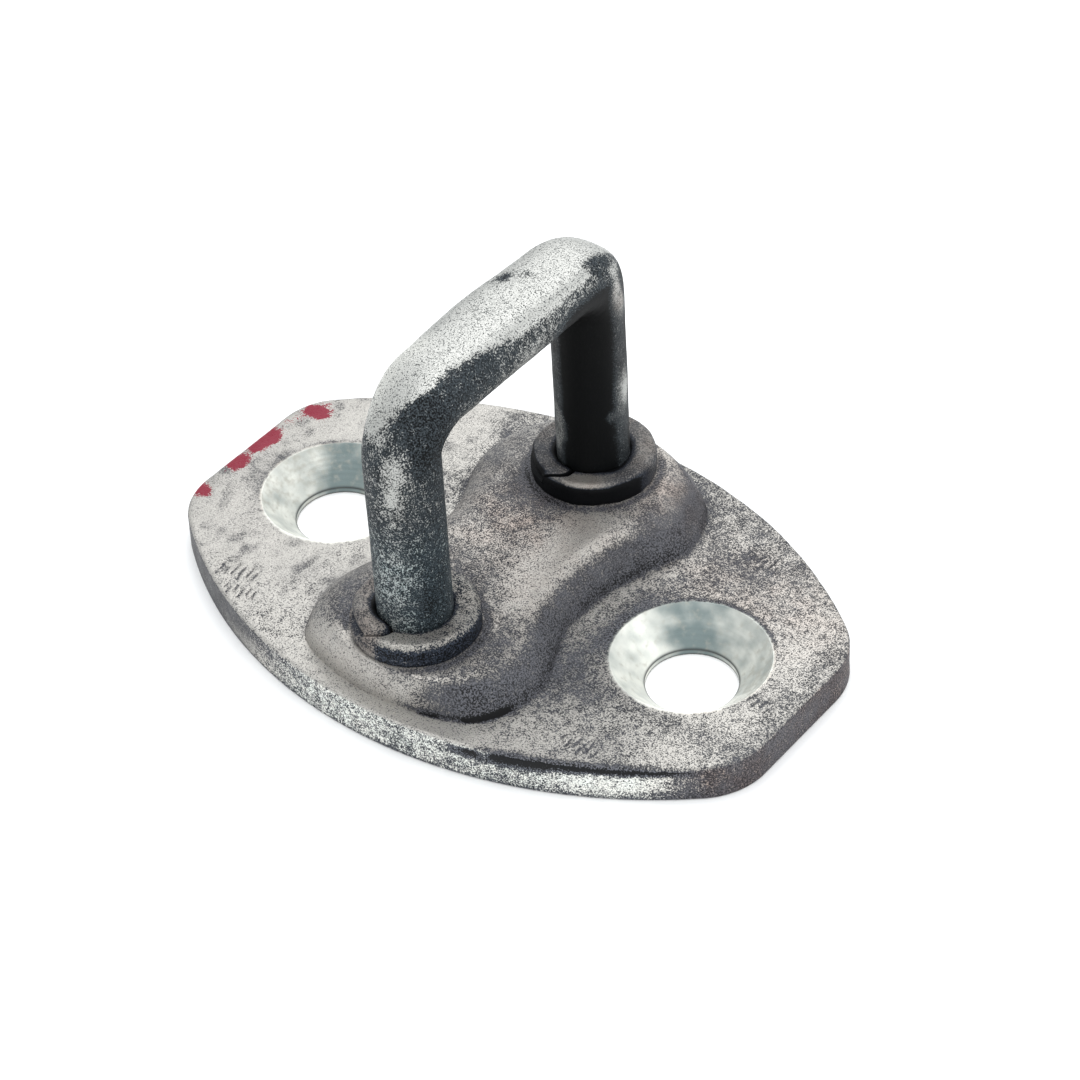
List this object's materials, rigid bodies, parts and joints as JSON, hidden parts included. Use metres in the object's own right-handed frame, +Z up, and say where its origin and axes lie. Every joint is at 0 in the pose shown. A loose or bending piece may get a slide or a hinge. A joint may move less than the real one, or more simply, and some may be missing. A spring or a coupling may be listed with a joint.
{
  "type": "door latch striker",
  "caption": "Pressed steel base plate with countersunk screw holes and a raised pad, carrying a riveted U-shaped bar that a latch hooks onto or a line ties to.",
  "frame": {"origin": "middle of the base plate's underside, on the plane that bolts against the pillar or deck", "axes": "+Z up from the mounting plane; +X along the line through the two screw holes, the plate's long direction; +Y from the front leg to the rear leg of the bow"},
  "size_m": [0.0752, 0.051, 0.0391],
  "materials": {
    "plate_steel": "worn dull grey plating over pressed steel, speckled with dark pits, bright bare metal in the countersinks, traces of dark red paint along one end",
    "bar_steel": "dark oxidised bar, bright and finely pitted where the latch has worn the crown",
    "collar_steel": "dark oxidised steel, rubbed paler on top"
  },
  "bodies": {
    "root": {"base_plate": "plate_steel", "striker_bow": "bar_steel", "front_collar": "collar_steel", "rear_collar": "collar_steel"}
  },
  "joints": []
}
